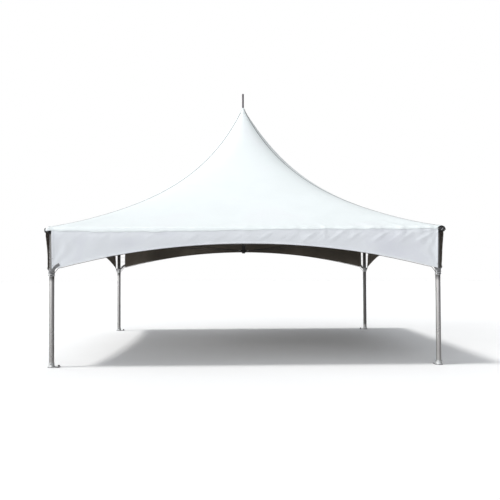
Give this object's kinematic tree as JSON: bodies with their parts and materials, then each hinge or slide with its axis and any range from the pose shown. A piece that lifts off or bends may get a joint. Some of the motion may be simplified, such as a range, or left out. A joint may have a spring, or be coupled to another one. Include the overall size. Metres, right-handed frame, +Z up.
{
  "type": "high-peak frame marquee tent",
  "caption": "Square open-sided marquee: tube frame on legs, crossed cables carrying a mast, tensioned white vinyl top with arched valances.",
  "frame": {"origin": "ground level under the mast, at the centre of the tent's square plan", "axes": "+Z up along the mast, -Y towards the front side, +X to the right seen from the front"},
  "size_m": [6.2214, 6.2214, 5.04],
  "materials": {
    "white_vinyl": "satin coated, faint scrim weave, dark block-out inside",
    "mill_aluminium": "mill finish, drawn lengthwise",
    "galvanised_steel": "dull galvanised",
    "cast_fitting": "cast and machined, dull",
    "wire_rope": "stranded, oiled",
    "grey_webbing": "woven, matt",
    "dark_spike": "satin dark grey"
  },
  "bodies": {
    "root": {"base_plate_back_left": "galvanised_steel", "base_plate_back_right": "galvanised_steel", "base_plate_front_left": "galvanised_steel", "base_plate_front_right": "galvanised_steel", "corner_fitting_back_left": "cast_fitting", "corner_fitting_back_right": "cast_fitting", "corner_fitting_front_left": "cast_fitting", "corner_fitting_front_right": "cast_fitting", "corner_strap_back_left": "grey_webbing", "corner_strap_back_right": "grey_webbing", "corner_strap_front_left": "grey_webbing", "corner_strap_front_right": "grey_webbing", "cross_cable_back_left": "wire_rope", "cross_cable_back_right": "wire_rope", "cross_cable_front_left": "wire_rope", "cross_cable_front_right": "wire_rope", "eave_beam_back": "mill_aluminium", "eave_beam_front": "mill_aluminium", "eave_beam_left": "mill_aluminium", "eave_beam_right": "mill_aluminium", "hem_cable_back": "wire_rope", "hem_cable_front": "wire_rope", "hem_cable_left": "wire_rope", "hem_cable_right": "wire_rope", "leg_back_left": "mill_aluminium", "leg_back_right": "mill_aluminium", "leg_front_left": "mill_aluminium", "leg_front_right": "mill_aluminium", "mast": "mill_aluminium", "mast_hub": "galvanised_steel", "mast_spike": "dark_spike", "peak_cap": "white_vinyl", "roof_panel_back": "white_vinyl", "roof_panel_front": "white_vinyl", "roof_panel_left": "white_vinyl", "roof_panel_right": "white_vinyl", "tension_bracket_back_left": "galvanised_steel", "tension_bracket_back_right": "galvanised_steel", "tension_bracket_front_left": "galvanised_steel", "tension_bracket_front_right": "galvanised_steel", "valance_back": "white_vinyl", "valance_front": "white_vinyl", "valance_left": "white_vinyl", "valance_right": "white_vinyl"}
  },
  "joints": []
}
